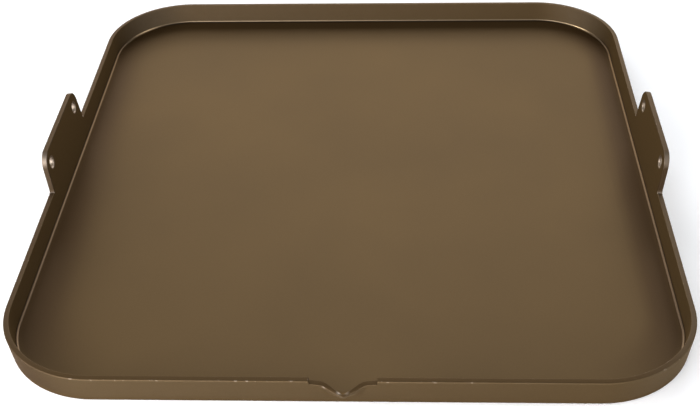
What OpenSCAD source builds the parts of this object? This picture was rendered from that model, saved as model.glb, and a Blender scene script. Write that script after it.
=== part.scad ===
// Camp griddle plate: a shallow welded tray with a low leaning rim, a drilled carrying ear
// on each side and a folded pour spout in the middle of the front.
// The origin is the centre of the flat underside. X runs across, Y to the back, Z up.

/* [Tray] */
// Width over the outside of the rim, left to right
tray_w = 380; // [300:5:460]
// Length over the outside of the rim, front to back
tray_l = 408; // [320:2:480]
// Corner radius of the rim's outside, seen from above
corner_r = 57; // [40:1:80]
// Height of the rim's top above the underside
rim_h = 17.5; // [15:0.5:30]
// Thickness of the sheet that every piece is cut from
sheet_t = 3.2; // [2.5:0.1:4]
// Lean of the rim and the ears away from upright, in degrees
wall_lean = 6; // [2:0.5:10]
// Radius ground on the lower outside edge
edge_r = 1.5; // [0.5:0.25:2.25]
// Radius of the weld fillet between floor and rim
weld_r = 1.5; // [1:0.25:3]

/* [Ears] */
// Length of an ear along the rim, at its foot
ear_foot_l = 85; // [70:1:110]
// Length of an ear at its top, before its corners are rounded
ear_top_l = 80; // [60:1:85]
// Height of an ear above the rim, measured up its slope
ear_h = 24.5; // [18:0.5:40]
// Radius of an ear's upper corners, round the handle holes
ear_corner_r = 9.5; // [8:0.5:14]
// Radius of the inside corner where an ear rises from the rim
ear_foot_r = 1.5; // [0.5:0.25:4]
// Diameter of the handle holes
hole_d = 6.5; // [4:0.5:8]

/* [Spout] */
// Length of rim that the spout piece replaces
spout_w = 35.5; // [32:0.5:50]
// Width of the V beak in the middle of the spout piece
beak_w = 19; // [14:0.5:24]
// How far the beak's tip stands out from the line of the rim
beak_reach = 8.5; // [3:0.5:10]
// How far the spout's shoulders lie below the rim's top
shoulder_drop = 2.3; // [0.5:0.1:4]
// How far the beak's tip lies below the shoulders
tip_drop = 2.4; // [0:0.1:3]
// Share of the beak that is a sharp V; the rest is a shallow dip across the whole piece
fold_share = 0.75; // [0.3:0.05:1]
// Curl of the beak: 1 leans straight out, larger values curl out towards the lip
beak_curl = 1.2; // [1:0.1:2]
// How far the lip is ground level, from a cut square to the sheet to a flat top
lip_level = 0.6; // [0:0.05:1]
// How much the sheet is thinned where the tip of the beak is drawn out
lip_thin = 0.25; // [0:0.05:0.4]

/* [Hidden] */
$fn = 96;

bronze = [0.37, 0.30, 0.21];
bronze_dark = [0.30, 0.24, 0.17];
bronze_light = [0.45, 0.37, 0.27];

right_side = 0;
back_side = 1;
left_side = 2;
front_side = 3;

arc_steps = 8;
corner_steps = 12;
beak_steps = 12;
rise_steps = 10;

// A section of the rim is drawn in s and z: s is measured outwards from the rim's outside at its top.
lean_run = tan(wall_lean);
wall_s = sheet_t / cos(wall_lean);
function outer_s(z) = -lean_run * (rim_h - z);
function inner_s(z) = outer_s(z) - wall_s;

// Points on an arc of radius r about c, from angle a0 to a1
function arc(c, r, a0, a1, steps) =
    [for (i = [0 : steps]) let (a = a0 + (a1 - a0) * i / steps) c + r * [cos(a), sin(a)]];

// The ground lower edge is an arc on the flat plate that meets its underside and its leaning edge.
// The rim stands on the plate, flush with that edge.
edge_centre = [outer_s(edge_r) - edge_r / cos(wall_lean), edge_r];
edge_arc = arc(edge_centre, edge_r, -90, -wall_lean, arc_steps);
edge_band = 5;

// The weld fillet is an arc that meets the floor and the leaning inner face.
weld_centre = [inner_s(sheet_t + weld_r) - weld_r / cos(wall_lean), sheet_t + weld_r];
weld_arc = arc(weld_centre, weld_r, -wall_lean, -90, arc_steps);

// An ear is drawn in y along the rim and w up the slope, from the rim's top.
ear_tilt = atan((ear_foot_l - ear_top_l) / 2 / ear_h);
function ear_side_y(w) = ear_foot_l / 2 - w * tan(ear_tilt);
foot_centre = [ear_side_y(ear_foot_r) + ear_foot_r / cos(ear_tilt), ear_foot_r];
hole_w = ear_h - ear_corner_r;
hole_y = ear_side_y(hole_w) - ear_corner_r / cos(ear_tilt);
cut_over = 1;

// An ear plate is cut to a whole millimetre on each side, just past its inside corners.
ear_end = ceil(foot_centre[0]);
ear_over = 2;
ear_blank_h = rim_h + ear_h + ear_over;

// Half the tray's size and half its straight run on a given side
function reach(side) = (side % 2 == 0 ? tray_w : tray_l) / 2;
function run(side) = reach(side + 1) - corner_r;

// Carries a section along a straight side, between two places measured from its middle.
module along_side(side, from, to) {
    rotate(90 * side)
        translate([reach(side), to, 0])
            rotate([90, 0, 0])
                linear_extrude(to - from) children();
}

// Carries a section round the corner that follows a side, counter-clockwise from above.
module round_corner(side) {
    rotate(90 * side)
        translate([reach(side) - corner_r, reach(side + 1) - corner_r, 0])
            rotate_extrude(angle = 90) translate([corner_r, 0]) children();
}

// Carries a section all round the tray.
module all_round() {
    for (side = [right_side : front_side]) {
        along_side(side, -run(side), run(side)) children();
        round_corner(side) children();
    }
}

module plate_edge_section() {
    band_s = edge_centre[0] - edge_band;
    polygon(concat([[band_s, sheet_t], [band_s, 0]], edge_arc, [[outer_s(sheet_t), sheet_t]]));
}

// The leaning wall, from the flat plate up to a given height of its inner face, with its top cut square
module wall_section(top) {
    through = sheet_t * [cos(wall_lean), -sin(wall_lean)];
    inner_top = [inner_s(top), top];
    polygon([[inner_s(sheet_t), sheet_t], inner_top, inner_top + through, [outer_s(sheet_t), sheet_t]]);
}

module rim_section() {
    wall_section(rim_h);
}

module weld_section() {
    polygon(concat([[inner_s(sheet_t), sheet_t]], weld_arc));
}

module flat_core() {
    core_w = tray_w + 2 * edge_centre[0];
    core_l = tray_l + 2 * edge_centre[0];
    core_r = corner_r + edge_centre[0];
    linear_extrude(sheet_t) {
        square([core_w, core_l - 2 * core_r], center = true);
        square([core_w - 2 * core_r, core_l], center = true);
        for (x = [-1, 1], y = [-1, 1])
            translate([x * (core_w / 2 - core_r), y * (core_l / 2 - core_r)]) circle(core_r);
    }
}

module cooking_plate() {
    color(bronze) union() {
        flat_core();
        all_round() plate_edge_section();
    }
}

// One strip from ear to ear, bent round both back corners
module rear_rim() {
    color(bronze_dark) union() {
        along_side(right_side, ear_end, run(right_side)) rim_section();
        round_corner(right_side) rim_section();
        along_side(back_side, -run(back_side), run(back_side)) rim_section();
        round_corner(back_side) rim_section();
        along_side(left_side, -run(left_side), -ear_end) rim_section();
    }
}

// A strip from the left ear round the front corner to the spout
module front_left_rim() {
    color(bronze_dark) union() {
        along_side(left_side, ear_end, run(left_side)) rim_section();
        round_corner(left_side) rim_section();
        along_side(front_side, -run(front_side), -spout_w / 2) rim_section();
    }
}

// A strip from the spout round the front corner to the right ear
module front_right_rim() {
    color(bronze_dark) union() {
        along_side(front_side, spout_w / 2, run(front_side)) rim_section();
        round_corner(front_side) rim_section();
        along_side(right_side, -run(right_side), -ear_end) rim_section();
    }
}

// Half of an ear's outline: its foot in the rim, its inside corner, its slanted edge and upper corner
ear_half = concat(
    [[ear_end + ear_over, -rim_h], [ear_end + ear_over, 0]],
    arc(foot_centre, ear_foot_r, 270, 180 + ear_tilt, arc_steps),
    arc([hole_y, hole_w], ear_corner_r, ear_tilt, 90, corner_steps)
);
last_half = len(ear_half) - 1;
ear_outline = concat(ear_half, [for (i = [last_half : -1 : 0]) [-ear_half[i][0], ear_half[i][1]]]);

// Sets a cutter at a place in y and w, square through the right side's leaning wall.
module through_right_wall(y, w) {
    translate([tray_w / 2 - wall_s, 0, rim_h])
        rotate([0, wall_lean, 0]) rotate([90, 0, 90]) translate([y, w, -cut_over]) children();
}

// A piece of the side wall that rises into an ear with two handle holes:
// a tall blank of wall, cut to the ear's outline and drilled
module ear_plate() {
    difference() {
        intersection() {
            along_side(right_side, -ear_end, ear_end) wall_section(ear_blank_h);
            through_right_wall(0, 0) linear_extrude(sheet_t + 2 * cut_over) polygon(ear_outline);
        }
        for (y = [-hole_y, hole_y])
            through_right_wall(y, hole_w) cylinder(d = hole_d, h = sheet_t + 2 * cut_over);
    }
}

module left_ear_plate() {
    color(bronze) rotate(180) ear_plate();
}

module right_ear_plate() {
    color(bronze) ear_plate();
}

// The beak: its share of the full reach at a place x along the rim, 1 at the fold and 0 at the ends.
// A V whose shoulders are eased is laid over a shallow raised cosine.
shoulder_ease = 0.3;
function eased_v(u) =
    u < 1 - shoulder_ease ? 1 - u : pow(max(0, 1 + shoulder_ease - u), 2) / (4 * shoulder_ease);
function beak(x) =
    fold_share * eased_v(abs(2 * x / beak_w))
    + (1 - fold_share) * pow(cos(90 * min(1, abs(2 * x / spout_w))), 2);
function spout_top(x) = rim_h - shoulder_drop - tip_drop * beak(x);

// The beak is bent out above the weld: b is the share of its height from the bend to the lip.
bend_z = sheet_t + weld_r;
function beak_out(x, b) = beak_reach * beak(x) * pow(b, beak_curl);
function beak_lean(x, b) =
    atan(lean_run + beak_reach * beak(x) * beak_curl * pow(b, beak_curl - 1) / (spout_top(x) - bend_z));

// The inner face of the spout at x along the rim, in x, s and z: its foot is row 0 and the bend row 1.
function row_share(j) = max(0, (j - 1) / (rise_steps - 1));
function spout_inner(x, j) =
    let (b = row_share(j))
    let (z = j == 0 ? sheet_t : bend_z + b * (spout_top(x) - bend_z))
    [x, inner_s(z) + beak_out(x, b), z];

// The outer face: the sheet's thickness is turned down towards the lip, as far as the lip isn't
// ground level, and sideways with the beak's slope in plan.
slope_step = 0.05;
function spout_outer(x, j) =
    let (b = row_share(j))
    let (turn = b * (lip_level * wall_lean + (1 - lip_level) * beak_lean(x, b)))
    let (thick = wall_s + b * (sheet_t * (1 - lip_thin * beak(x)) - wall_s))
    let (plan_slope = (beak_out(x + slope_step, b) - beak_out(x - slope_step, b)) / (2 * slope_step))
    let (plan_turn = atan(plan_slope))
    let (out = thick * cos(turn))
    spout_inner(x, j) + [-out * sin(plan_turn), out * cos(plan_turn), -thick * sin(turn)];

// Columns lie evenly along the rim.
spout_xs = [for (i = [-beak_steps : beak_steps]) spout_w / 2 * i / beak_steps];
columns = len(spout_xs);
rows = rise_steps + 1;
face_count = columns * rows;
spout_points = concat(
    [for (x = spout_xs, j = [0 : rise_steps]) spout_inner(x, j)],
    [for (x = spout_xs, j = [0 : rise_steps]) spout_outer(x, j)]
);
function inner_id(i, j) = i * rows + j;
function outer_id(i, j) = face_count + i * rows + j;
function two_triangles(a, b, c, d) = [[a, b, c], [a, c, d]];
spout_faces = concat(
    [for (i = [0 : columns - 2], j = [0 : rise_steps - 1])
        each two_triangles(inner_id(i, j), inner_id(i, j + 1), inner_id(i + 1, j + 1), inner_id(i + 1, j))],
    [for (i = [0 : columns - 2], j = [0 : rise_steps - 1])
        each two_triangles(outer_id(i, j), outer_id(i + 1, j), outer_id(i + 1, j + 1), outer_id(i, j + 1))],
    [for (i = [0 : columns - 2])
        each two_triangles(inner_id(i, rise_steps), outer_id(i, rise_steps),
            outer_id(i + 1, rise_steps), inner_id(i + 1, rise_steps))],
    [for (i = [0 : columns - 2])
        each two_triangles(inner_id(i, 0), inner_id(i + 1, 0), outer_id(i + 1, 0), outer_id(i, 0))],
    [for (j = [0 : rise_steps - 1])
        each two_triangles(inner_id(0, j), outer_id(0, j), outer_id(0, j + 1), inner_id(0, j + 1))],
    [for (j = [0 : rise_steps - 1])
        each two_triangles(inner_id(columns - 1, j), inner_id(columns - 1, j + 1),
            outer_id(columns - 1, j + 1), outer_id(columns - 1, j))]
);

// The sheet between its inner and outer face, mirrored so that s points to the front
module pour_spout() {
    color(bronze_light)
        mirror([0, 1, 0]) translate([0, tray_l / 2, 0]) polyhedron(spout_points, spout_faces, 4);
}

// The bead that joins the floor to every piece of the rim
module floor_weld() {
    color(bronze_light) all_round() weld_section();
}

cooking_plate();
rear_rim();
front_left_rim();
front_right_rim();
left_ear_plate();
right_ear_plate();
pour_spout();
floor_weld();
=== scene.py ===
import math
import bmesh
import bpy
import numpy as np
from mathutils import Matrix
from mathutils.geometry import delaunay_2d_cdt


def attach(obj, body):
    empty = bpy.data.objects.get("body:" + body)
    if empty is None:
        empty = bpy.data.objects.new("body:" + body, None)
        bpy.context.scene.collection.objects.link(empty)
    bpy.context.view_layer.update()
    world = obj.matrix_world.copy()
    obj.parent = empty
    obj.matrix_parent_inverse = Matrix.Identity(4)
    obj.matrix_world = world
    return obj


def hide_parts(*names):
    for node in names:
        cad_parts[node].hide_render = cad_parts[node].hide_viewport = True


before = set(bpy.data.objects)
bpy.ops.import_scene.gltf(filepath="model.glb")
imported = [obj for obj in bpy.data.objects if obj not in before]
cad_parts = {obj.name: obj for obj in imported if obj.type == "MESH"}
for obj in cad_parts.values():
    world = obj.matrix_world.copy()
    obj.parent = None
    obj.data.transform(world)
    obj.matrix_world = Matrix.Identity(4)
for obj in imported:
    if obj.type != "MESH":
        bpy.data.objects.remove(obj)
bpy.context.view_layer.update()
print("frame loaded")

mm = 0.001

# the tray: sizes in millimetres, the same as the solids
tray = {
    "width": 380.0,
    "length": 408.0,
    "cornerRadius": 57.0,
    "cornerSteps": 28,
    "rimHeight": 17.5,
    "sheet": 3.2,
    "lean": math.radians(6.0),
    "earEnd": 44.0,
    "spoutWidth": 35.5,
}
leanRun = math.tan(tray["lean"])
wallRun = tray["sheet"] / math.cos(tray["lean"])


# s is measured outwards from the rim's outer top edge, z up from the underside
def outerS(z):
    return -leanRun * (tray["rimHeight"] - z)


def innerS(z):
    return outerS(z) - wallRun


# half the tray's size across a side: 0 is right, 1 back, 2 left and 3 front
def reach(side):
    return (tray["width"] if side % 2 == 0 else tray["length"]) / 2


# points on a side of the tray and the way outwards: (distance out, distance along) turned by 90 degrees a side
def turned(side, out, along, nOut, nAlong):
    c, s = (1, 0, -1, 0)[side % 4], (0, 1, 0, -1)[side % 4]
    place = [c * out - s * along, s * out + c * along]
    return np.stack(place + [c * nOut - s * nAlong, s * nOut + c * nAlong], axis=-1)


# places along a straight side
def sideRun(side, along):
    along = np.asarray(along, float)
    one = np.ones_like(along)
    return turned(side, reach(side) * one, along, one, 0 * one)


# a quarter circle that follows a side, counter-clockwise from above
def cornerRun(side):
    r = tray["cornerRadius"]
    a = np.linspace(0, math.pi / 2, tray["cornerSteps"] + 1)
    c, s = np.cos(a), np.sin(a)
    return turned(side, reach(side) - r + r * c, reach(side + 1) - r + r * s, c, s)


# a section in s and z carried along a run: place + s times the way outwards, at height z
def carry(run, section):
    s, z = section[:, 0], section[:, 1]
    xy = run[:, None, :2] + run[:, None, 2:] * s[None, :, None]
    return np.concatenate([xy, np.broadcast_to(z[None, :, None], xy.shape[:2] + (1,))], axis=-1)


# quads between neighbouring rows and columns of a grid of points
def gridQuads(rows, columns, closeRows=False, closeColumns=False, first=0):
    i = np.arange(rows if closeRows else rows - 1)
    j = np.arange(columns if closeColumns else columns - 1)
    i, j = np.meshgrid(i, j, indexing="ij")
    i2, j2 = (i + 1) % rows, (j + 1) % columns
    quads = np.stack([i * columns + j, i2 * columns + j, i2 * columns + j2, i * columns + j2], axis=-1)
    return first + quads.reshape(-1, 4)


# an arc about (s, z) from angle a to b, in degrees
def arc(centre, radius, a, b, steps):
    t = np.radians(np.linspace(a, b, steps + 1))
    return np.stack([centre[0] + radius * np.cos(t), centre[1] + radius * np.sin(t)], axis=-1)


# a corner of a section eased by a curve: (1-t)^2 before + 2t(1-t) corner + t^2 after, cut back by a length
def eased(before, corner, after, cut, steps=5):
    t = np.linspace(0, 1, steps + 1)[:, None]
    a = corner + cut * (before - corner) / np.linalg.norm(before - corner)
    b = corner + cut * (after - corner) / np.linalg.norm(after - corner)
    return (1 - t) ** 2 * a + 2 * t * (1 - t) * corner + t ** 2 * b


# half a sine wave, for the edge mask across a broken edge
def hump(count):
    return np.sin(np.linspace(0, math.pi, count))


# puts points in millimetres and faces into a mesh that points outwards, with masks kept on its points: one for
# broken edges, one for bare metal at drilled holes and nicks together with painted highlights (glints), one for
# painted shade on the floor by the walls, on the cut edges and on a corner, and one for painted light over whole
# faces
def makePiece(name, points, faces, masks, node, material, sharp=40.0):
    points = np.asarray(points, float).reshape(-1, 3)
    mesh = bpy.data.meshes.new(name)
    mesh.from_pydata((points * mm).tolist(), [], [list(map(int, f)) for f in faces])
    for mask in ("edge", "bare", "film", "scuff"):
        values = np.asarray(masks.get(mask, np.zeros(len(points))), np.float32).reshape(-1)
        mesh.attributes.new(mask, "FLOAT", "POINT").data.foreach_set("value", values)
    bm = bmesh.new()
    bm.from_mesh(mesh)
    bmesh.ops.remove_doubles(bm, verts=bm.verts, dist=1e-6)
    bmesh.ops.dissolve_degenerate(bm, edges=bm.edges, dist=1e-7)
    bmesh.ops.recalc_face_normals(bm, faces=bm.faces)
    if bm.calc_volume(signed=True) < 0:
        bmesh.ops.reverse_faces(bm, faces=bm.faces)
    openEdges = sum(1 for e in bm.edges if not e.is_manifold)
    bm.to_mesh(mesh)
    bm.free()
    mesh.polygons.foreach_set("use_smooth", np.ones(len(mesh.polygons), bool))
    mesh.set_sharp_from_angle(angle=math.radians(sharp))
    mesh.materials.append(material)
    piece = bpy.data.objects.new(name, mesh)
    bpy.context.scene.collection.objects.link(piece)
    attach(piece, "root")
    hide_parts(node)
    print(name, len(mesh.polygons), "faces", openEdges, "open edges")


# finishes
bronze = {
    "light": (0.107, 0.067, 0.0275, 1.0),
    "deep": (0.102, 0.064, 0.0263, 1.0),
    # the lighter colour of worn edges and of painted light on whole faces
    "wornAndLit": (0.25, 0.215, 0.17, 1.0),
    # bare metal at drilled holes and nicks, and the colour of painted highlights
    "bare": (0.46, 0.385, 0.315, 1.0),
    "bareRoughness": 0.42,
    "beadLight": (0.102, 0.074, 0.045, 1.0),
    "beadDeep": (0.093, 0.067, 0.041, 1.0),
    # painted highlight colour on the weld bead
    "beadHighlight": (0.41, 0.30, 0.175, 1.0),
    "grazing": (0.48, 0.40, 0.32, 1.0),
    # multiplies the tone darker where shade is painted
    "film": (0.54, 0.465, 0.42, 1.0),
    "metallic": 1.0,
    "roughness": 0.65,
    "beadRoughness": 0.32,
    "coat": 0.17,
    "coatRoughness": 0.5,
    "grainDepth": 0.00002,
    "grainStrength": 0.25,
    "rub": 0.1,
    "nicks": 0.28,
    # scale, detail and roughness of each noise, and the part of it that is used
    "cloudNoise": (10.0, 3.0),
    "fineNoise": (900.0, 2.0),
    "grainNoise": (2600.0, 1.0),
    "wearNoise": (120.0, 4.0, 0.65),
    "chipNoise": (380.0, 2.0),
    "cloudRange": (0.3, 0.7),
    "wearRange": (0.4, 0.75),
    "chipRange": (0.64, 0.70),
    # what the noise does to the painted shade, the sheen, the rubbed edges and the painted light
    "filmPatches": (0.85, 1.0),
    "cloudSheen": (0.015, -0.015),
    "fineSheen": (-0.02, 0.02),
    "edgePatches": (0.4, 1.0),
    "scuffPatches": (0.75, 1.0),
}


def socket(group, name, kind, direction, value=None):
    made = group.interface.new_socket(name=name, in_out=direction, socket_type=kind)
    if value is not None:
        made.default_value = value


# sets a node's own sockets
def fill(node, values):
    for name, value in values.items():
        node.inputs[name].default_value = value


def noise(nodes, links, vector, scale, detail, roughness=0.5):
    n = nodes.new("ShaderNodeTexNoise")
    fill(n, {"Scale": scale, "Detail": detail, "Roughness": roughness})
    links.new(vector, n.inputs["Vector"])
    return n.outputs["Fac"]


# takes a range of a value to another range
def spread(nodes, links, value, source, target):
    n = nodes.new("ShaderNodeMapRange")
    fill(n, {"From Min": source[0], "From Max": source[1], "To Min": target[0], "To Max": target[1]})
    links.new(value, n.inputs["Value"])
    return n.outputs["Result"]


def maths(nodes, links, operation, a, b):
    n = nodes.new("ShaderNodeMath")
    n.operation = operation
    for slot, v in zip(n.inputs, (a, b)):
        if isinstance(v, (int, float)):
            slot.default_value = v
        else:
            links.new(v, slot)
    return n.outputs["Value"]


# mixes b, a colour or another node's output, into a
def blend(nodes, links, factor, a, b, mode="MIX"):
    n = nodes.new("ShaderNodeMix")
    n.data_type, n.blend_type = "RGBA", mode
    links.new(factor, n.inputs["Factor"])
    links.new(a, n.inputs["A"])
    if isinstance(b, tuple):
        n.inputs["B"].default_value = b
    else:
        links.new(b, n.inputs["B"])
    return n.outputs["Result"]


def attribute(nodes, name):
    n = nodes.new("ShaderNodeAttribute")
    n.attribute_name = name
    return n.outputs["Fac"]


# anodised sheet: two tones clouded into each other under painted shade, a fine blasted grain and an uneven sheen
def anodisedGroup():
    g = bpy.data.node_groups.new("anodisedSheet", "ShaderNodeTree")
    socket(g, "Light Tone", "NodeSocketColor", "INPUT", bronze["light"])
    socket(g, "Deep Tone", "NodeSocketColor", "INPUT", bronze["deep"])
    socket(g, "Sheen", "NodeSocketFloat", "INPUT", bronze["roughness"])
    socket(g, "Tone", "NodeSocketColor", "OUTPUT")
    socket(g, "Roughness", "NodeSocketFloat", "OUTPUT")
    socket(g, "Grain", "NodeSocketFloat", "OUTPUT")
    nodes, links = g.nodes, g.links
    given, made = nodes.new("NodeGroupInput").outputs, nodes.new("NodeGroupOutput").inputs
    place = nodes.new("ShaderNodeTexCoord").outputs["Object"]
    cloud = noise(nodes, links, place, *bronze["cloudNoise"])
    fine = noise(nodes, links, place, *bronze["fineNoise"])
    clouded = spread(nodes, links, cloud, bronze["cloudRange"], (0.0, 1.0))
    tone = blend(nodes, links, clouded, given["Deep Tone"], given["Light Tone"])
    # painted shade, broken into patches by the cloud noise
    patches = spread(nodes, links, cloud, bronze["cloudRange"], bronze["filmPatches"])
    film = maths(nodes, links, "MULTIPLY", attribute(nodes, "film"), patches)
    links.new(blend(nodes, links, film, tone, bronze["film"], "MULTIPLY"), made["Tone"])
    rough = given["Sheen"]
    for value, target in ((cloud, "cloudSheen"), (fine, "fineSheen")):
        uneven = spread(nodes, links, value, bronze["cloudRange"], bronze[target])
        rough = maths(nodes, links, "ADD", rough, uneven)
    links.new(rough, made["Roughness"])
    links.new(noise(nodes, links, place, *bronze["grainNoise"]), made["Grain"])
    return g


# worn edges and painted light: the edge mask (wear) and the mask of painted light broken up by noise, and bare metal
# or a painted highlight where the bare mask is, and bare metal where a small nick is
def wornAndLitGroup():
    g = bpy.data.node_groups.new("wornAndLitEdge", "ShaderNodeTree")
    socket(g, "Amount", "NodeSocketFloat", "INPUT", bronze["rub"])
    socket(g, "Nicks", "NodeSocketFloat", "INPUT", bronze["nicks"])
    socket(g, "Worn And Lit", "NodeSocketFloat", "OUTPUT")
    socket(g, "Bare And Glint", "NodeSocketFloat", "OUTPUT")
    nodes, links = g.nodes, g.links
    given, made = nodes.new("NodeGroupInput").outputs, nodes.new("NodeGroupOutput").inputs
    place = nodes.new("ShaderNodeTexCoord").outputs["Object"]
    edge = attribute(nodes, "edge")
    broken = noise(nodes, links, place, *bronze["wearNoise"])
    edgePatches, scuffPatches = (spread(nodes, links, broken, bronze["wearRange"], bronze[target])
                                 for target in ("edgePatches", "scuffPatches"))
    worn = maths(nodes, links, "MULTIPLY", edge, edgePatches)
    worn = maths(nodes, links, "MULTIPLY", worn, given["Amount"])
    wornAndLit = maths(nodes, links, "MULTIPLY", attribute(nodes, "scuff"), scuffPatches)
    chips = noise(nodes, links, place, *bronze["chipNoise"])
    chips = spread(nodes, links, chips, bronze["chipRange"], (0.0, 1.0))
    chips = maths(nodes, links, "MULTIPLY", chips, edge)
    chips = maths(nodes, links, "MULTIPLY", chips, given["Nicks"])
    links.new(maths(nodes, links, "MAXIMUM", worn, wornAndLit), made["Worn And Lit"])
    links.new(maths(nodes, links, "MAXIMUM", attribute(nodes, "bare"), chips), made["Bare And Glint"])
    return g


sheetGroup, edgeGroup = anodisedGroup(), wornAndLitGroup()


# a node group in a material, with that material's own values
def placed(nodes, group, values):
    n = nodes.new("ShaderNodeGroup")
    n.node_tree = group
    fill(n, values)
    return n.outputs


def bronzeMaterial(name, light, deep, wornAndLit, sheen, rub, nicks):
    m = bpy.data.materials.new(name)
    m.use_nodes = True
    nodes, links = m.node_tree.nodes, m.node_tree.links
    bsdf = nodes["Principled BSDF"]
    fill(bsdf, {
        "Metallic": bronze["metallic"],
        "Specular Tint": bronze["grazing"],
        "Coat Weight": bronze["coat"],
        "Coat Roughness": bronze["coatRoughness"],
    })
    sheet = placed(nodes, sheetGroup, {"Light Tone": light, "Deep Tone": deep, "Sheen": sheen})
    edge = placed(nodes, edgeGroup, {"Amount": rub, "Nicks": nicks})
    tone = blend(nodes, links, edge["Worn And Lit"], sheet["Tone"], wornAndLit)
    tone = blend(nodes, links, edge["Bare And Glint"], tone, bronze["bare"])
    links.new(tone, bsdf.inputs["Base Color"])
    # from the sheet's roughness to that of bare metal
    smooth = maths(nodes, links, "SUBTRACT", bronze["bareRoughness"], sheet["Roughness"])
    smooth = maths(nodes, links, "MULTIPLY", smooth, edge["Bare And Glint"])
    links.new(maths(nodes, links, "ADD", sheet["Roughness"], smooth), bsdf.inputs["Roughness"])
    bump = nodes.new("ShaderNodeBump")
    fill(bump, {"Strength": bronze["grainStrength"], "Distance": bronze["grainDepth"]})
    links.new(sheet["Grain"], bump.inputs["Height"])
    links.new(bump.outputs["Normal"], bsdf.inputs["Normal"])
    return m


sheetBronze = bronzeMaterial("sheetBronze", bronze["light"], bronze["deep"], bronze["wornAndLit"], bronze["roughness"],
                             bronze["rub"], bronze["nicks"])
beadBronze = bronzeMaterial("beadBronze", bronze["beadLight"], bronze["beadDeep"], bronze["beadHighlight"],
                            bronze["beadRoughness"], 0.0, 0.0)
print("finishes made")

# cooking plate
plate = {
    "edgeRadius": 1.5,
    "edgeSteps": 10,
    "inset": 4.0,
    "underInset": 1.0,
    "rings": (0, 2, 4, 7, 10, 14, 18, 23, 29, 36, 44, 54, 66, 90, 130, 190),
    # painted shade by each wall: amount, reach at the back and at the front, softness
    "film": {"left": (1.0, 9.0, 21.0, 5.0), "right": (0.9, 10.5, 15.0, 2.2), "back": (0.25, 24.0, 24.0, 5.0)},
}


# a closed run round the whole tray
def wholeRun():
    return np.concatenate([cornerRun(side) for side in range(4)])


# painted shade at a distance d from the wall, darker close to the wall where shade falls: amount / (1 + e^((d -
# reach) / softness)) for each side, its reach growing from the back to the front, shared out round the corners by the
# squared parts of the way outwards; the front has none
def filmOn(run, d):
    x, y = run[:, 2], run[:, 3]
    shares = {"left": np.maximum(0, -x) ** 2, "right": np.maximum(0, x) ** 2, "back": np.maximum(0, y) ** 2}
    total = np.zeros((len(d), len(run)))
    forward = 0.5 - run[:, 1] / tray["length"]
    for side, (amount, atBack, atFront, soft) in plate["film"].items():
        reachIn = atBack + (atFront - atBack) * forward
        total += shares[side] * amount / (1 + np.exp((d[:, None] - reachIn) / soft))
    return total


# an edge section carried round the tray, closed above and below by rings that shrink towards the middle
def buildPlate():
    r, t = plate["edgeRadius"], tray["sheet"]
    centre = (outerS(r) - r / math.cos(tray["lean"]), r)
    rounding = arc(centre, r, -90, -math.degrees(tray["lean"]), plate["edgeSteps"])
    top = np.array([[outerS(t), t]])
    inset = np.array([[innerS(t) - plate["inset"], t]])
    under = np.array([[centre[0] - plate["underInset"], 0.0]])
    section = np.concatenate([under, rounding, top, inset])
    edge = np.concatenate([[0], hump(len(rounding)), [0, 0]])
    run = wholeRun()
    band = carry(run, section)
    n, k = band.shape[:2]
    faces = [gridQuads(n, k, closeRows=True)]
    points = [band.reshape(-1, 3)]
    masks = [np.tile(edge, n)]
    films = [np.zeros(n * k)]
    count = n * k
    inside = np.array(plate["rings"], float)
    # the upper disc carries painted shade by the walls, the lower one none
    for column, film in ((0, 0.0), (k - 1, 1.0)):
        ring = band[:, column, :]
        middle = np.array([0.0, 0.0, ring[0, 2]])
        shrink = (1 - inside / inside[-1])[:, None, None]
        disc = middle + shrink * (ring - middle)
        points.append(disc.reshape(-1, 3))
        masks.append(np.zeros(len(inside) * n))
        films.append((film * filmOn(run, inside)).reshape(-1))
        faces.append(gridQuads(len(inside), n, closeColumns=True, first=count))
        count += len(inside) * n
    # the edge section meets the floor where the painted shade starts
    films[0].reshape(n, k)[:, -1] = filmOn(run, inside[:1])[0]
    masks = {"edge": np.concatenate(masks), "film": np.concatenate(films)}
    points, faces = np.concatenate(points), np.concatenate(faces)
    makePiece("cookingPlate", points, faces, masks, "cooking_plate", sheetBronze)


buildPlate()

# rim strips
rim = {
    "innerBreak": 0.3,
    "outerBreak": 0.9,
    "endBreak": 0.8,
    "endDepth": 1.0,
    # a face starts this far past its break, and the cut top is held flat between these shares
    "hold": 0.5,
    "flat": (0.35, 0.65),
    # painted shade on the cut top
    "topShade": 0.5,
    # at the sides, more painted shade on the cut top and painted light on it, from the left to the right value
    "sideShade": (0.45, 0.2),
    "sideLight": (0.1, 0.17),
    # painted light on the outer faces
    "scuff": 0.09,
    # painted light on the inner face at the back, more to the left, and in the back corners
    "innerLight": 0.16,
    "backCornerLight": 0.22,
    # painted shade on the outer face in the left front corner, painted light in the right one
    "leftCornerShade": 0.9,
    "rightCornerLight": 0.16,
}


# painted light on the outer faces: most on the left and none on the right
def outerLight(x):
    return rim["scuff"] * (0.5 - x / tray["width"])


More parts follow.
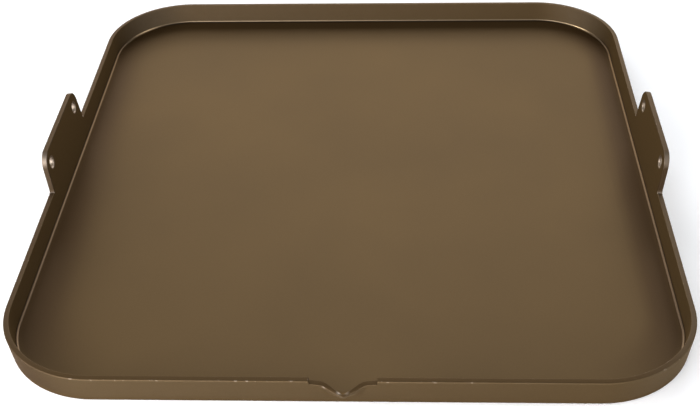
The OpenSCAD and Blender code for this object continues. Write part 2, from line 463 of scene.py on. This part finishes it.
# the leaning wall with its top edges broken: up the inner face, over the cut top, darkened with painted shade, and
# down the outer face
def rimSection():
    t, h, cutIn, cutOut = tray["sheet"], tray["rimHeight"], rim["innerBreak"], rim["outerBreak"]
    a, b = np.array([innerS(t), t]), np.array([innerS(h), h])
    d, e = b + t * np.array([math.cos(tray["lean"]), -math.sin(tray["lean"])]), np.array([outerS(t), t])
    up = b + (a - b) / np.linalg.norm(a - b) * (cutIn + rim["hold"])
    down = d + (e - d) / np.linalg.norm(e - d) * (cutOut + rim["hold"])
    inner, outer = eased(a, b, d, cutIn), eased(b, d, e, cutOut)
    flat = np.array([b + (d - b) * share for share in rim["flat"]])
    section = np.concatenate([[a], [up], inner, flat, outer, [down], [e]])
    innerFrom = 2
    flatFrom = innerFrom + len(inner)
    outerFrom = flatFrom + len(flat)
    mask = np.zeros(len(section))
    mask[innerFrom:flatFrom] = hump(len(inner))
    mask[outerFrom:outerFrom + len(outer)] = hump(len(outer))
    # painted shade on the flat cut top
    film = np.zeros(len(section))
    film[flatFrom - 2:outerFrom + 2] = rim["topShade"]
    return section, mask, film


# painted shade and painted light on a strip: the cut top is greyer, with painted shade and painted light, everywhere
# but at the front, from its left to its right values; the inner face gets painted light at the back, more to the
# left, and in the back corners; the outer face gets painted shade in the left front corner and painted light in the
# right one; corners count by 4 x^2 y^2 of the way out
def rimWear(run, film):
    place, x, y = run[:, 0], run[:, 2], run[:, 3]
    innerColumns, outerColumns = 3, 6
    column = np.arange(len(film))
    inside, top, outside = column < innerColumns, film > 0, column >= len(film) - outerColumns
    sides = 1 - np.maximum(0, -y) ** 2
    ends = (-reach(0), reach(0))
    topShade, topLight = (sides * np.interp(place, ends, rim[name]) for name in ("sideShade", "sideLight"))
    corner, back, front = 4 * x ** 2 * y ** 2, y > 0, y < 0
    within = rim["innerLight"] * back * y ** 2 * (0.5 - place / tray["width"])
    within = within + rim["backCornerLight"] * corner * back
    without = outerLight(place) + rim["rightCornerLight"] * corner * front * (x > 0)
    shadedCorner = rim["leftCornerShade"] * corner * front * (x < 0)
    film = film + np.outer(topShade, top) + np.outer(shadedCorner, outside)
    return film, np.outer(within, inside) + np.outer(topLight, top) + np.outer(without, outside)


# a strip: the wall section carried along a run and closed at both ends
def buildRim(name, node, run, softEnds):
    section, mask, film = rimSection()
    points = carry(run, section)
    n, k = points.shape[:2]
    film, scuff = rimWear(run, film)
    lengths = np.concatenate([[0], np.cumsum(np.linalg.norm(np.diff(run[:, :2], axis=0), axis=1))])
    r = rim["endBreak"]
    edge = np.tile(mask, (n, 1))
    topRows = np.clip((section[:, 1] - (tray["rimHeight"] - rim["endDepth"])) / rim["endDepth"], 0, 1)
    for soft, distance in zip(softEnds, (lengths, lengths[-1] - lengths)):
        if soft:
            d = np.clip(r - distance, 0, r)
            points[:, :, 2] -= (r - np.sqrt(r * r - d * d))[:, None] * topRows[None, :]
            edge = np.maximum(edge, (d / r)[:, None] * topRows[None, :])
    faces = [list(f) for f in gridQuads(n, k, closeColumns=True)]
    faces += [list(range(k)), list(range((n - 1) * k, n * k))]
    masks = {"edge": edge, "film": film, "scuff": scuff}
    makePiece(name, points, faces, masks, node, sheetBronze)


# stations close to a soft end, so that its rounding has steps
softSteps = np.array([0.0, 0.04, 0.12, 0.25, 0.45, 0.8])
earEnd, halfSpout = tray["earEnd"], tray["spoutWidth"] / 2
rearRun = np.concatenate([sideRun(0, [earEnd]), cornerRun(0), cornerRun(1), sideRun(2, [-earEnd])])
buildRim("rearRim", "rear_rim", rearRun, (False, False))
leftRun = np.concatenate([sideRun(2, [earEnd]), cornerRun(2), sideRun(3, -halfSpout - softSteps[::-1])])
buildRim("frontLeftRim", "front_left_rim", leftRun, (False, True))
rightRun = np.concatenate([sideRun(3, halfSpout + softSteps), cornerRun(3), sideRun(0, [-earEnd])])
buildRim("frontRightRim", "front_right_rim", rightRun, (True, False))

# ear plates
ear = {
    "foot": 85.0,
    "top": 80.0,
    "height": 24.5,
    "cornerRadius": 9.5,
    "cornerSteps": 20,
    "footRadius": 1.5,
    "footSteps": 10,
    "hole": 6.5,
    "holeSteps": 40,
    "break": 0.5,
    "holeBreak": 0.9,
    "hold": 0.5,
    "flat": (0.4, 0.6),
    # a painted highlight line in the inside corner at the foot
    "glints": (0.6, 1.0, 1.0, 0.5),
    "footGlint": 0.8,
    # painted shade along the front slant
    "slant": (0.5, 1.0, 1.0, 1.0, 0.9, 0.7, 0.4, 0.2),
    # on the left ear and on the right ear: holes of drilled bare metal with a painted highlight, a painted highlight
    # on the front corner, painted light and painted shade on the edge bands, and painted shade on the front slant
    "holeBareAndGlint": (0.75, 0.6),
    "holeFade": (0.0, 0.8),
    "cornerGlint": (0.65, 0.3),
    "edgeLight": (0.13, 0.18),
    "edgeShade": (0.9, 0.8),
    "frontShade": (0.0, 0.8),
    # degrees below the back at which a hole is barest and its painted highlight brightest, and how far out its bare
    # metal and highlight go, in breaks
    "fadeFrom": 40.0,
    "bareReach": 1.4,
}


# the ear's upper outline in y and w, w up the slope from the rim's top: foot, inside corner, slant and upper corner,
# mirrored, with masks for a painted highlight line in the inside corner together with a painted highlight on the
# front corner's edge, and for painted shade on the front slant
def earOutline(cornerGlint):
    tilt = math.atan((ear["foot"] - ear["top"]) / 2 / ear["height"])

    def sideY(w):
        return ear["foot"] / 2 - w * math.tan(tilt)

    fr, cr = ear["footRadius"], ear["cornerRadius"]
    footCentre = (sideY(fr) + fr / math.cos(tilt), fr)
    holeW = ear["height"] - cr
    hole = (sideY(holeW) - cr / math.cos(tilt), holeW)
    half = np.concatenate([
        [[earEnd, 0.0]],
        arc(footCentre, fr, 270, 180 + math.degrees(tilt), ear["footSteps"]),
        [[sideY(2 * fr), 2 * fr]],
        arc(hole, cr, math.degrees(tilt), 90, ear["cornerSteps"]),
    ])
    glints, wornAndLit, slant = np.zeros((3, len(half)))
    # painted highlights at the foot and on the front corner, painted shade on the slant
    glints[2:2 + len(ear["glints"])] = ear["glints"]
    wornAndLit[-ear["cornerSteps"] - 1:] = hump(ear["cornerSteps"] + 1) ** 2
    slant[ear["footSteps"]:ear["footSteps"] + len(ear["slant"])] = ear["slant"]
    out = np.concatenate([half, (half * [-1, 1])[::-1]])
    bare = np.concatenate([glints, glints[::-1] + cornerGlint * wornAndLit[::-1]])
    return out, bare, np.concatenate([0 * slant, slant[::-1]]), hole


# outline offset into the sheet along its own normal, which is level at both ends
def inwards(outline):
    t = np.gradient(outline, axis=0)
    t /= np.linalg.norm(t, axis=1)[:, None]
    m = np.stack([-t[:, 1], t[:, 0]], axis=-1)
    m[[0, -1]] = [0, -1]
    return m


# places y, w and depth through the sheet on the right or left leaning wall
def onWall(side, y, w, depth):
    c, s = math.cos(tray["lean"]), math.sin(tray["lean"])
    x = tray["width"] / 2 - wallRun + w * s + depth * c
    z = tray["rimHeight"] + w * c - depth * s
    return np.stack([side * x, y, z], axis=-1)


# edge section through the sheet: (distance into the sheet, depth), rounded at both faces
def throughSection(cut):
    t = tray["sheet"]
    corners = np.array([[t, 0.0], [0.0, 0.0], [0.0, t], [t, t]])
    a, b = eased(*corners[:3], cut), eased(*corners[1:], cut)
    flat = [[0, t * share] for share in ear["flat"]]
    section = np.concatenate([[[cut + ear["hold"], 0.0]], a, flat, b, [[cut + ear["hold"], t]]])
    return section, np.concatenate([[0], hump(len(a)), [0, 0], hump(len(b)), [0]])


# a point is inside a loop when a level ray from it crosses the loop an odd number of times
def insideLoop(points, loop):
    a, b = loop[None], np.roll(loop, -1, axis=0)[None]
    x, y = points[:, None, 0], points[:, None, 1]
    spans = (a[..., 1] > y) != (b[..., 1] > y)
    rise = np.where(b[..., 1] == a[..., 1], 1.0, b[..., 1] - a[..., 1])
    crossing = a[..., 0] + (y - a[..., 1]) * (b[..., 0] - a[..., 0]) / rise
    return (spans & (x < crossing)).sum(axis=1) % 2 == 1


# the ear plate: rounded edge bands round the outline and both holes, and two flat faces between them
def buildEar(name, node, side):
    right = int(side > 0)
    outline, glints, slant, hole = earOutline(ear["cornerGlint"][right])
    slant = slant * ear["frontShade"][right]
    section, edgeMask = throughSection(ear["break"])
    holeSection, holeMask = throughSection(ear["holeBreak"])
    points, faces = [], []
    masks = {"edge": [], "bare": [], "scuff": [], "film": []}

    # takes in points with their masks, and says which number they start at
    def take(places, **given):
        first = sum(map(len, points))
        points.append(places.reshape(-1, 3))
        for mask, parts in masks.items():
            parts.append(np.asarray(given.get(mask, np.zeros(len(points[-1])))).reshape(-1))
        return first

    m = inwards(outline)
    d, depth = section[:, 0], section[:, 1]
    y = outline[:, None, 0] + m[:, None, 0] * d
    w = outline[:, None, 1] + m[:, None, 1] * d
    n, k = y.shape
    onEdge = np.concatenate([[0], np.ones(k - 2), [0]])
    # the edge band: painted highlights, painted light and painted shade, most shade on the front slant
    take(onWall(side, y, w, np.broadcast_to(depth, y.shape)),
         edge=np.tile(edgeMask, n),
         bare=np.outer(glints, onEdge) * ear["footGlint"],
         scuff=np.outer(1 - slant, onEdge) * ear["edgeLight"][right],
         film=np.outer(slant + (1 - slant) * ear["edgeShade"][right], onEdge))
    faces += [list(f) for f in gridQuads(n, k)]
    # drilled bare metal round a hole with a painted highlight, fading from its lower back side: 1 - fade * (1 - cos(a
    # + from)) / 2
    a = np.linspace(0, 2 * math.pi, ear["holeSteps"], endpoint=False)
    fade = ear["holeFade"][right] * (1 - np.cos(a + math.radians(ear["fadeFrom"]))) / 2
    drilledAndGlint = ear["holeBareAndGlint"][right] * (1 - fade)
    radius = ear["hole"] / 2 + holeSection[:, 0]
    rings = []
    for sign in (1, -1):
        hy = sign * hole[0] + np.cos(a)[:, None] * radius
        hw = hole[1] + np.sin(a)[:, None] * radius
        first = take(onWall(side, hy, hw, np.broadcast_to(holeSection[:, 1], hy.shape)),
                     edge=np.tile(holeMask, len(a)),
                     bare=np.outer(drilledAndGlint, np.clip(ear["bareReach"] - holeSection[:, 0] / ear["holeBreak"], 0, 1)))
        faces += [list(f) for f in gridQuads(len(a), k, closeRows=True, first=first)]
        rings.append((hy, hw))
    # both flat faces are filled between the bands, down to the plate
    lower = tray["rimHeight"] - tray["sheet"]
    footIn = -(lower / math.cos(tray["lean"]))
    footOut = footIn + tray["sheet"] * math.tan(tray["lean"])
    for column, at, foot in ((0, 0.0, footIn), (k - 1, tray["sheet"], footOut)):
        loop = np.stack([y[:, column], w[:, column]], axis=-1)
        loop = np.concatenate([loop, [[-earEnd, foot], [earEnd, foot]]])
        holes = [np.stack([hy[:, column], hw[:, column]], axis=-1) for hy, hw in rings]
        flat = np.concatenate([loop] + holes)
        ends = np.cumsum([len(loop)] + [len(h) for h in holes])
        starts = np.concatenate([[0], ends[:-1]])
        edges = [(int(i), int(i + 1 if i + 1 < e else s)) for s, e in zip(starts, ends) for i in range(s, e)]
        spots, _, tris, *_ = delaunay_2d_cdt([tuple(p) for p in flat], edges, [], 0, 1e-7)
        spots, tris = np.array([tuple(p) for p in spots]), np.array(tris)
        middle = spots[tris].mean(axis=1)
        kept = insideLoop(middle, loop)
        for ring in holes:
            kept &= ~insideLoop(middle, ring)
        # the outer face gets the same painted light as the rims' outer faces
        rub = outerLight(side * reach(0)) if at else 0.0
        first = take(onWall(side, spots[:, 0], spots[:, 1], np.full(len(spots), at)), scuff=np.full(len(spots), rub))
        faces += [list(f) for f in tris[kept] + first]
    # the cut ends and the foot that stands on the plate
    c = take(onWall(side, np.array([earEnd, earEnd, -earEnd, -earEnd]), np.array([footIn, footOut, footOut, footIn]),
                    np.array([0, tray["sheet"], tray["sheet"], 0])))
    faces.append(list(range(k)) + [c + 1, c])
    faces.append(list(range((n - 1) * k, n * k)) + [c + 2, c + 3])
    faces.append([c, c + 1, c + 2, c + 3])
    masks = {mask: np.concatenate(parts) for mask, parts in masks.items()}
    makePiece(name, np.concatenate(points), faces, masks, node, sheetBronze)


buildEar("leftEarPlate", "left_ear_plate", -1)
buildEar("rightEarPlate", "right_ear_plate", 1)

# pour spout
spout = {
    "beakWidth": 19.0,
    "reach": 8.5,
    "shoulderDrop": 2.3,
    "tipDrop": 2.4,
    "fold": 0.75,
    "ease": 0.3,
    "curl": 1.2,
    "level": 0.6,
    "thin": 0.25,
    "stations": 97,
    "crowding": 2.4,
    "rows": 20,
    "weldShare": 0.15,
    "planStep": 0.05,
    "sharp": 50.0,
    "lipBreak": 0.3,
    "lipHold": 0.2,
    "lipSteps": 6,
    # over the lip and down the outer face, at the point
    "lipRound": (0.9, 4.5),
    # painted shade on the lip's cut top
    "lipShade": 0.5,
    "crease": 0.03,
    "spotPlace": 2.0,
    "spotSize": 0.9,
    "spotCut": 0.9,
    # painted highlight left and right of the crease
    "spotGlint": (0.6, 0.25),
    # place, size and amount
    "nick": (-8.5, 0.8, 0.3),
    # painted highlight on the beak's rounded lip
    "tipLight": 0.2,
}
# the weld's values stand here because the spout is folded above it
bead = {
    "radius": 1.5,
    "steps": 12,
    # painted highlight: place, spread and amount at each back corner
    "cornerHighlight": {"left": (43.0, 13.0, 0.95), "right": (46.0, 18.0, 0.85)},
    # painted highlight along the back
    "backHighlight": 0.1,
}


# share of the beak's reach at x: a V with eased shoulders over a shallow raised cosine, its point very slightly round
def beak(x):
    e, c = spout["ease"], spout["crease"]
    u = np.abs(2 * x / spout["beakWidth"])
    u = np.sqrt(u * u + c * c) - c * np.maximum(0, 1 - u)
    v = np.where(u < 1 - e, 1 - u, np.maximum(0, 1 + e - u) ** 2 / (4 * e))
    raised = np.cos(math.pi / 2 * np.minimum(1, np.abs(x / halfSpout))) ** 2
    return spout["fold"] * v + (1 - spout["fold"]) * raised


# inner face at x and row share b, bent out above the weld as reach * beak * b^curl; the outer face lies a
# sheet's thickness away, turned down towards the lip and round with the beak's slope in plan
def spoutFaces(x, v):
    t, h = tray["sheet"], tray["rimHeight"]
    top = h - spout["shoulderDrop"] - spout["tipDrop"] * beak(x)
    bend, low = t + bead["radius"], spout["weldShare"]
    b = np.clip((v - low) / (1 - low), 0, 1)
    z = np.where(v < low, t + (bend - t) * v / low, bend + b * (top - bend))
    out = spout["reach"] * beak(x) * b ** spout["curl"]
    inner = np.stack([x, innerS(z) + out, z], axis=-1)
    run = spout["reach"] * beak(x) * spout["curl"] * np.maximum(b, 1e-6) ** (spout["curl"] - 1) / (top - bend)
    turn = b * (spout["level"] * tray["lean"] + (1 - spout["level"]) * np.arctan(leanRun + run))
    thick = wallRun + b * (t * (1 - spout["thin"] * beak(x)) - wallRun)
    step = spout["planStep"]
    plan = np.arctan(spout["reach"] * b ** spout["curl"] * (beak(x + step) - beak(x - step)) / (2 * step))
    away = np.stack([-np.cos(turn) * np.sin(plan), np.cos(turn) * np.cos(plan), -np.sin(turn)], axis=-1)
    return inner, inner + away * thick[..., None]


# section by section along the rim: up the inner face, over the rounded lip and down the outer face
def buildSpout():
    crowding, rows = spout["crowding"], spout["rows"]
    xs = np.sinh(np.linspace(-crowding, crowding, spout["stations"])) / math.sinh(crowding) * halfSpout
    x, v = np.meshgrid(xs, np.linspace(0, 1, rows + 1), indexing="ij")
    inner, outer = spoutFaces(x, v)
    a, b = inner[:, -1], outer[:, -1]
    cut = spout["lipBreak"]
    over, down = (cut + spout["lipHold"] + size * beak(xs)[:, None] for size in spout["lipRound"])
    # the outer face stops where the lip's rounding begins
    height = np.linalg.norm(np.diff(outer, axis=1), axis=2).sum(axis=1)[:, None]
    outer = spoutFaces(x, v * (1 - down / height))[1]
    lipColumns = spout["lipSteps"] + 1

    def unit(p):
        return p / np.linalg.norm(p, axis=-1, keepdims=True)

    def bend(p, corner, q):
        t = np.linspace(0, 1, lipColumns)[None, :, None]
        return (1 - t) ** 2 * p[:, None] + 2 * t * (1 - t) * corner[:, None] + t ** 2 * q[:, None]

    # two painted highlights (glints) by the crease, where the inner edge is also broken more: exp(-((|x| - place) /
    # size)^2)
    spot = np.exp(-((np.abs(xs) - spout["spotPlace"]) / spout["spotSize"]) ** 2)
    across = unit(b - a)
    inCut = cut + spout["spotCut"] * spot[:, None]
    lipIn = bend(a + inCut * unit(inner[:, -3] - a), a, a + inCut * across)
    lipOut = bend(b - over * across, b, outer[:, -1])
    section = np.concatenate([inner[:, :-3], lipIn, lipOut, outer[:, :-1][:, ::-1]], axis=1)
    n, k = section.shape[:2]
    # columns where the lip's inner and outer roundings start and end
    lipFrom = rows - 2
    outFrom = lipFrom + lipColumns
    outTo = outFrom + lipColumns
    mask = np.zeros(k)
    mask[lipFrom:outFrom] = mask[outFrom:outTo] = hump(lipColumns)
    # painted shade on the lip's cut top
    film = np.zeros(k)
    film[lipFrom + 3:outFrom + 3] = spout["lipShade"]
    scuff = np.zeros((n, k))
    # painted light on the outer face, as on the rims
    scuff[:, outFrom + 4:] = outerLight(0.0)
    # painted highlight on the beak's rounded lip, growing towards its point
    scuff[:, outFrom + 1:outTo] += spout["tipLight"] * beak(xs)[:, None] ** 2
    bare = np.zeros((n, k))
    # painted highlights by the crease
    bare[:, lipFrom:outFrom] = (spot * np.where(xs < 0, *spout["spotGlint"]))[:, None]
    # and a nick on the outer edge, exp(-((x - place) / size)^2)
    at, size, amount = spout["nick"]
    bare[:, outFrom + 1:outFrom + 5] = (amount * np.exp(-((xs - at) / size) ** 2))[:, None]
    points = np.stack([section[..., 0], -(tray["length"] / 2 + section[..., 1]), section[..., 2]], axis=-1)
    faces = [list(f) for f in gridQuads(n, k, closeColumns=True)]
    faces += [list(range(k)), list(range((n - 1) * k, n * k))]
    masks = {"edge": np.tile(mask, n), "bare": bare, "film": np.tile(film, n), "scuff": scuff}
    makePiece("pourSpout", points, faces, masks, "pour_spout", sheetBronze, spout["sharp"])


buildSpout()

# weld bead
# a hollow fillet between floor and wall, carried round the tray; the floor's painted shade goes on over it, and it
# gets a painted highlight at the back, by back * (angle / 90)^2, and most in the back corners, by amount *
# exp(-((angle - place) / spread)^2), with the angle in degrees from the side to the back
def buildBead():
    r, t = bead["radius"], tray["sheet"]
    centre = (innerS(t + r) - r / math.cos(tray["lean"]), t + r)
    hollow = arc(centre, r, -math.degrees(tray["lean"]), -90, bead["steps"])
    section = np.concatenate([[[innerS(t), t]], hollow])
    mask = np.concatenate([[0], hump(len(hollow))])
    run = wholeRun()
    points = carry(run, section)
    n, k = points.shape[:2]
    faces = gridQuads(n, k, closeRows=True, closeColumns=True)
    angle = np.degrees(np.arctan2(run[:, 3], np.abs(run[:, 2])))
    left, right = (np.array(bead["cornerHighlight"][side])[:, None] for side in ("left", "right"))
    at, wide, amount = np.where(run[:, 2] < 0, left, right)
    bright = amount * np.exp(-((angle - at) / wide) ** 2)
    bright = bright + bead["backHighlight"] * np.maximum(0, angle / 90) ** 2
    film = filmOn(run, np.zeros(1))[0]
    masks = {"edge": np.tile(mask, n), "film": np.repeat(film, k), "scuff": np.repeat(bright, k)}
    makePiece("floorWeld", points, faces, masks, "floor_weld", beadBronze)


buildBead()
print("pieces made")

# studio
studio = {
    "floor": (0.955, 0.963, 0.972, 1.0),
    "floorGlow": 0.1,
    "floorRoughness": 0.8,
    "floorGloss": 0.2,
    "floorReach": 6.0,
    "floorLevel": -0.0002,
    "white": (1.0, 1.0, 1.0, 1.0),
    "eye": (0.029340, -0.633770, 0.463133),
    "yaw": math.radians(-3.026),
    "pitch": math.radians(37.496),
    "roll": math.radians(-1.781),
    "focal": 1196.02,
    "imageWidth": 700.0,
    "sensor": 36.0,
    "clipStart": 0.01,
    "tent": {"front": 3.05, "back": 2.2, "left": 0.4, "right": 0.4},
    # place, target, size, power and colour
    "boxes": {
        "lowBox": ((-0.28, -0.62, 0.28), (0, 0, 0), (0.5, 0.3), 3.5, (1.0, 1.0, 1.06)),
        "sideBox": ((1.3, -0.2, 1.3), (0, 0, 0), (0.8, 0.8), 7.5, (1.0, 1.0, 1.0)),
        "leftBox": ((-1.4, -0.45, 0.6), (0, 0, 0), (0.8, 0.5), 14, (1.0, 0.98, 0.94)),
        "backBox": ((0.08, 1.9, 1.2), (0, 0, 0.1), (2.0, 1.2), 30.5, (0.96, 0.985, 1.05)),
        "farBox": ((-0.8, 1.6, 0.5), (0, 0, 0.02), (0.8, 0.5), 4, (1.0, 1.0, 1.0)),
    },
}


def buildFloor():
    s, z = studio["floorReach"], studio["floorLevel"]
    mesh = bpy.data.meshes.new("studioFloor")
    mesh.from_pydata([(-s, -s, z), (s, -s, z), (s, s, z), (-s, s, z)], [], [(0, 1, 2, 3)])
    m = bpy.data.materials.new("paleFloor")
    m.use_nodes = True
    fill(m.node_tree.nodes["Principled BSDF"], {
        "Base Color": studio["floor"],
        "Roughness": studio["floorRoughness"],
        "Specular IOR Level": studio["floorGloss"],
        "Emission Color": studio["white"],
        "Emission Strength": studio["floorGlow"],
    })
    mesh.materials.append(m)
    floor = bpy.data.objects.new("studioFloor", mesh)
    bpy.context.scene.collection.objects.link(floor)


# the photograph's camera: looks along the yaw and pitch, then is rolled
def buildCamera():
    y, p, r = studio["yaw"], studio["pitch"], studio["roll"]
    ahead = np.array([math.sin(y) * math.cos(p), math.cos(y) * math.cos(p), -math.sin(p)])
    right = np.array([math.cos(y), -math.sin(y), 0])
    up = np.cross(right, ahead)
    right, up = math.cos(r) * right + math.sin(r) * up, -math.sin(r) * right + math.cos(r) * up
    turn = Matrix(np.column_stack([right, up, -ahead]).tolist()).to_4x4()
    cam = bpy.data.cameras.new("studioCamera")
    cam.sensor_width = studio["sensor"]
    cam.sensor_fit = "HORIZONTAL"
    cam.lens = studio["focal"] / studio["imageWidth"] * studio["sensor"]
    cam.clip_start = studio["clipStart"]
    eye = bpy.data.objects.new("studioCamera", cam)
    eye.matrix_world = Matrix.Translation(studio["eye"]) @ turn
    bpy.context.scene.collection.objects.link(eye)
    bpy.context.scene.camera = eye


# a rectangle of light that faces its target and isn't seen itself
def softbox(name, place, target, size, power, colour):
    light = bpy.data.lights.new(name, "AREA")
    light.shape = "RECTANGLE"
    light.size, light.size_y = size
    light.energy = power
    light.color = colour
    obj = bpy.data.objects.new(name, light)
    obj.visible_camera = False
    z = np.array(place, float) - np.array(target, float)
    z /= np.linalg.norm(z)
    x = np.cross([0, 0, 1.0], z)
    x /= np.linalg.norm(x)
    turn = Matrix(np.column_stack([x, np.cross(z, x), z]).tolist()).to_4x4()
    obj.matrix_world = Matrix.Translation(place) @ turn
    bpy.context.scene.collection.objects.link(obj)


# a white tent whose foot is lit side by side: (1 - max(0, z)) * (right * max(0, x) + left * max(0, -x) +
# back * max(0, y) + front * max(0, -y)), with softboxes in front, beside and behind
def buildLight():
    world = bpy.data.worlds.new("studioWorld")
    world.use_nodes = True
    nodes, links = world.node_tree.nodes, world.node_tree.links
    way = nodes.new("ShaderNodeTexCoord")
    split = nodes.new("ShaderNodeSeparateXYZ")
    links.new(way.outputs["Generated"], split.inputs["Vector"])
    high = maths(nodes, links, "MAXIMUM", split.outputs["Z"], 0.0)
    foot = 0.0
    for axis, sign, name in (("X", 1, "right"), ("X", -1, "left"), ("Y", 1, "back"), ("Y", -1, "front")):
        lobe = maths(nodes, links, "MAXIMUM", maths(nodes, links, "MULTIPLY", split.outputs[axis], sign), 0.0)
        foot = maths(nodes, links, "ADD", maths(nodes, links, "MULTIPLY", lobe, studio["tent"][name]), foot)
    level = maths(nodes, links, "MULTIPLY", maths(nodes, links, "SUBTRACT", 1.0, high), foot)
    nodes["Background"].inputs["Color"].default_value = studio["white"]
    links.new(level, nodes["Background"].inputs["Strength"])
    bpy.context.scene.world = world
    for name, values in studio["boxes"].items():
        softbox(name, *values)
    bpy.context.scene.view_settings.view_transform = "Standard"


buildFloor()
buildCamera()
buildLight()
print("studio made")
